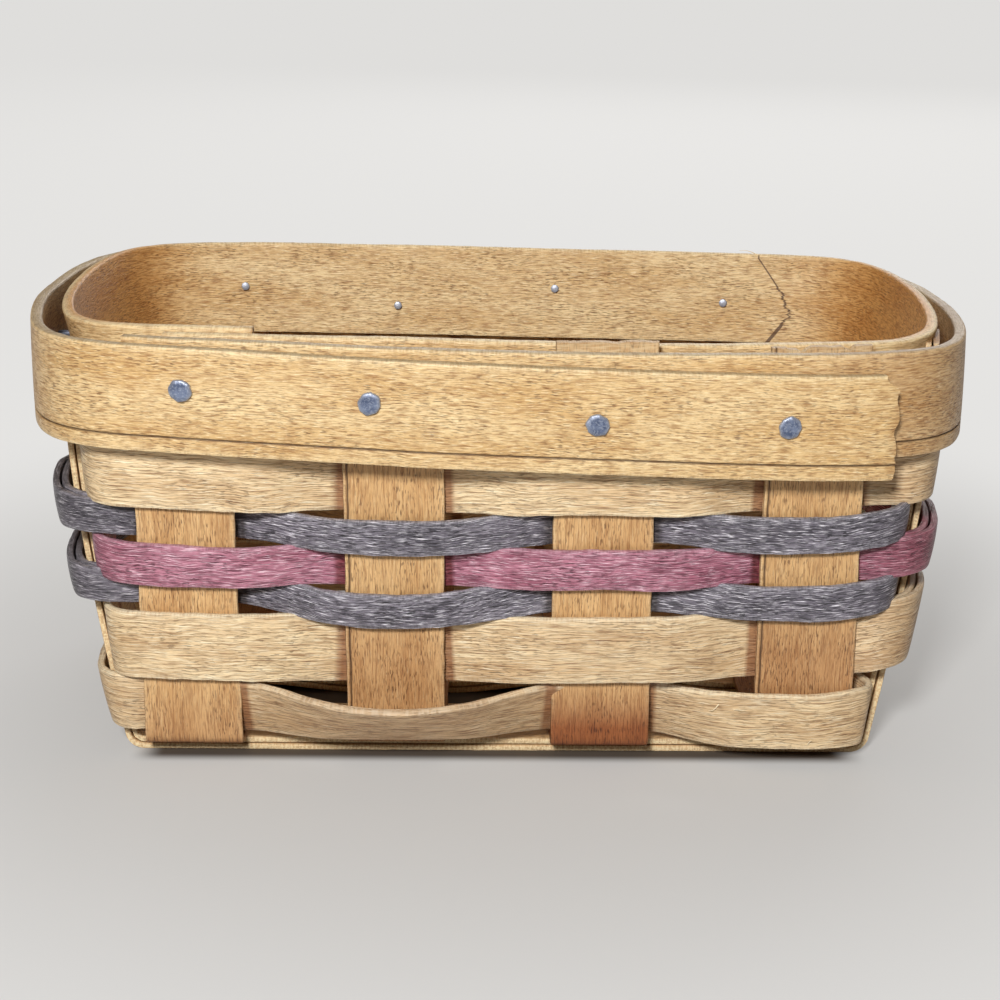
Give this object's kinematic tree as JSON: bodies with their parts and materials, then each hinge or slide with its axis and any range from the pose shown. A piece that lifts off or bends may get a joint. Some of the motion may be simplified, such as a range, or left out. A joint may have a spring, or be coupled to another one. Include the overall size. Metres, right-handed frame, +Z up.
{
  "type": "business card basket",
  "caption": "Small open rectangular basket of woven wood splints with coloured weaver rows and nailed rim bands, for holding business cards.",
  "frame": {"origin": "middle of the basket's box, on the surface it stands on", "axes": "+X along the basket's length, +Z up out of its mouth; the front, where the outer rim band ends, faces -Y"},
  "size_m": [0.1214, 0.0784, 0.0558],
  "materials": {
    "stake": "satin stained hardwood splint with a fibrous grain",
    "natural_weaver": "satin stained hardwood splint with a fibrous grain",
    "rim_band": "satin stained hardwood band, smooth with fine grain",
    "dark_weaver": "splint dyed dark grey, grain showing through",
    "red_weaver": "splint dyed burgundy, grain showing through",
    "nail": "dull zinc-coated steel tack"
  },
  "bodies": {
    "root": {"cross_stake_1": "stake", "cross_stake_2": "stake", "cross_stake_3": "stake", "cross_stake_4": "stake", "long_stake_front_inner": "stake", "long_stake_front_outer": "stake", "long_stake_middle_inner": "stake", "long_stake_middle_outer": "stake", "long_stake_back_inner": "stake", "long_stake_back_outer": "stake", "weaver_1_natural": "natural_weaver", "weaver_2_natural": "natural_weaver", "weaver_3_dark": "dark_weaver", "weaver_4_red": "red_weaver", "weaver_5_dark": "dark_weaver", "weaver_6_natural": "natural_weaver", "rim_band_inner": "rim_band", "rim_band_outer": "rim_band", "nail_front_1": "nail", "nail_front_2": "nail", "nail_front_3": "nail", "nail_front_4": "nail", "nail_back_1": "nail", "nail_back_2": "nail", "nail_back_3": "nail", "nail_back_4": "nail", "nail_left": "nail", "nail_right": "nail"}
  },
  "joints": []
}
